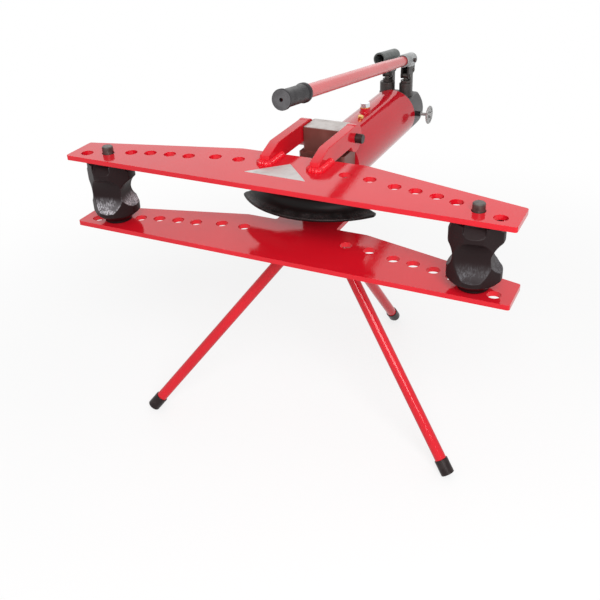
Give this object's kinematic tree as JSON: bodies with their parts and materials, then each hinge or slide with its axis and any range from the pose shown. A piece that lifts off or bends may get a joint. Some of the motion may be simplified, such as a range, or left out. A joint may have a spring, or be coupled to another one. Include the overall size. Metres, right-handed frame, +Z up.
{
  "type": "hydraulic pipe bender",
  "caption": "Tripod hydraulic pipe bender: drilled wings with grooved support castings, curved former on a ram, twin hand pump, hinged upper wing",
  "frame": {"origin": "On the floor under the middle of the whole machine", "axes": "X along the wings, the valve wheel at +X; Y from the open front of the wings back to the pump; Z up"},
  "size_m": [1.112, 0.8906, 0.9847],
  "materials": {
    "red_paint": "gloss red paint",
    "black_casting": "rough black casting",
    "block_brown": "dark brown oiled steel",
    "head_grey": "dark grey casting",
    "pump_black": "blackened steel",
    "pin_steel": "dark oiled steel",
    "socket_grey": "dull grey steel",
    "socket_light": "light grey steel",
    "bright_steel": "bright zinc and ground steel",
    "brass": "plain brass and bronze",
    "black_rubber": "matte black rubber"
  },
  "bodies": {
    "frame": {"lower_wing": "red_paint", "head_block": "block_brown", "block_bolts": "pin_steel", "hinge_pin": "pin_steel", "tripod_hub": "red_paint", "leg_left": "red_paint", "leg_right": "red_paint", "leg_rear": "red_paint", "cap_left": "black_rubber", "cap_right": "black_rubber", "cap_rear": "black_rubber", "pressure_cylinder": "bright_steel", "ram_bush": "brass", "rod_wiper": "black_rubber", "reservoir_tank": "red_paint", "tank_seal": "black_rubber", "filler_boss": "red_paint", "filler_washer": "brass", "filler_plug": "bright_steel", "bleed_screw": "brass", "pump_head": "head_grey", "valve_plugs": "pump_black", "left_pump_body": "pump_black", "right_pump_body": "pump_black", "left_gland_nut": "pump_black", "right_gland_nut": "pump_black", "left_post": "pump_black", "right_post": "pump_black", "left_fulcrum_pin": "pin_steel", "right_fulcrum_pin": "pin_steel"},
    "upper_wing_unit": {"upper_wing": "red_paint", "left_arm": "red_paint", "right_arm": "red_paint"},
    "ram": {"ram_rod": "bright_steel", "piston": "bright_steel", "piston_seal": "black_rubber", "return_spring": "pin_steel", "former": "black_casting", "former_pin": "pin_steel"},
    "left_roller": {"left_support": "black_casting", "left_support_pin": "pin_steel"},
    "right_roller": {"right_support": "black_casting", "right_support_pin": "pin_steel"},
    "left_lever": {"left_socket": "socket_grey"},
    "right_lever": {"right_socket": "socket_light", "set_screw": "pin_steel", "handle_tube": "red_paint", "handle_grip": "black_rubber"},
    "left_pump_plunger": {"left_plunger": "bright_steel", "left_plunger_pin": "pin_steel"},
    "right_pump_plunger": {"right_plunger": "bright_steel", "right_plunger_pin": "pin_steel"},
    "release_valve": {"valve_spindle": "pin_steel", "valve_wheel": "bright_steel"}
  },
  "joints": [
    {"name": "ram_slide", "type": "slide", "parent": "frame", "child": "ram", "axis": [0, -1, 0], "range_m": [0, 0.25], "deforming": ["return_spring"]},
    {"name": "upper_wing_hinge", "type": "hinge", "parent": "frame", "child": "upper_wing_unit", "pos_m": [0, -0.10072, 0.784], "axis": [-1, 0, 0], "range_deg": [0, 27]},
    {"name": "left_support_swivel", "type": "hinge", "parent": "frame", "child": "left_roller", "pos_m": [-0.46482, -0.38628, 0.6825], "axis": [0, 0, 1], "continuous": true},
    {"name": "right_support_swivel", "type": "hinge", "parent": "frame", "child": "right_roller", "pos_m": [0.46482, -0.38628, 0.6825], "axis": [0, 0, 1], "continuous": true},
    {"name": "left_lever_hinge", "type": "hinge", "parent": "frame", "child": "left_lever", "pos_m": [-0.028, 0.41928, 0.812], "axis": [-1, 0, 0], "range_deg": [0, 40]},
    {"name": "right_lever_hinge", "type": "hinge", "parent": "frame", "child": "right_lever", "pos_m": [0.028, 0.41928, 0.812], "axis": [-1, 0, 0], "range_deg": [0, 40]},
    {"name": "left_plunger_slide", "type": "slide", "parent": "frame", "child": "left_pump_plunger", "axis": [0, 0, 1], "range_m": [0, 0.025]},
    {"name": "right_plunger_slide", "type": "slide", "parent": "frame", "child": "right_pump_plunger", "axis": [0, 0, 1], "range_m": [0, 0.025]},
    {"name": "release_knob_turn", "type": "hinge", "parent": "frame", "child": "release_valve", "pos_m": [0.111, 0.36328, 0.701], "axis": [1, 0, 0], "range_deg": [0, 360]}
  ],
  "couplings": [
    {"joint": "left_plunger_slide", "follows": "left_lever_hinge", "m_per_rad": 0.0355},
    {"joint": "right_plunger_slide", "follows": "right_lever_hinge", "m_per_rad": 0.0355}
  ]
}
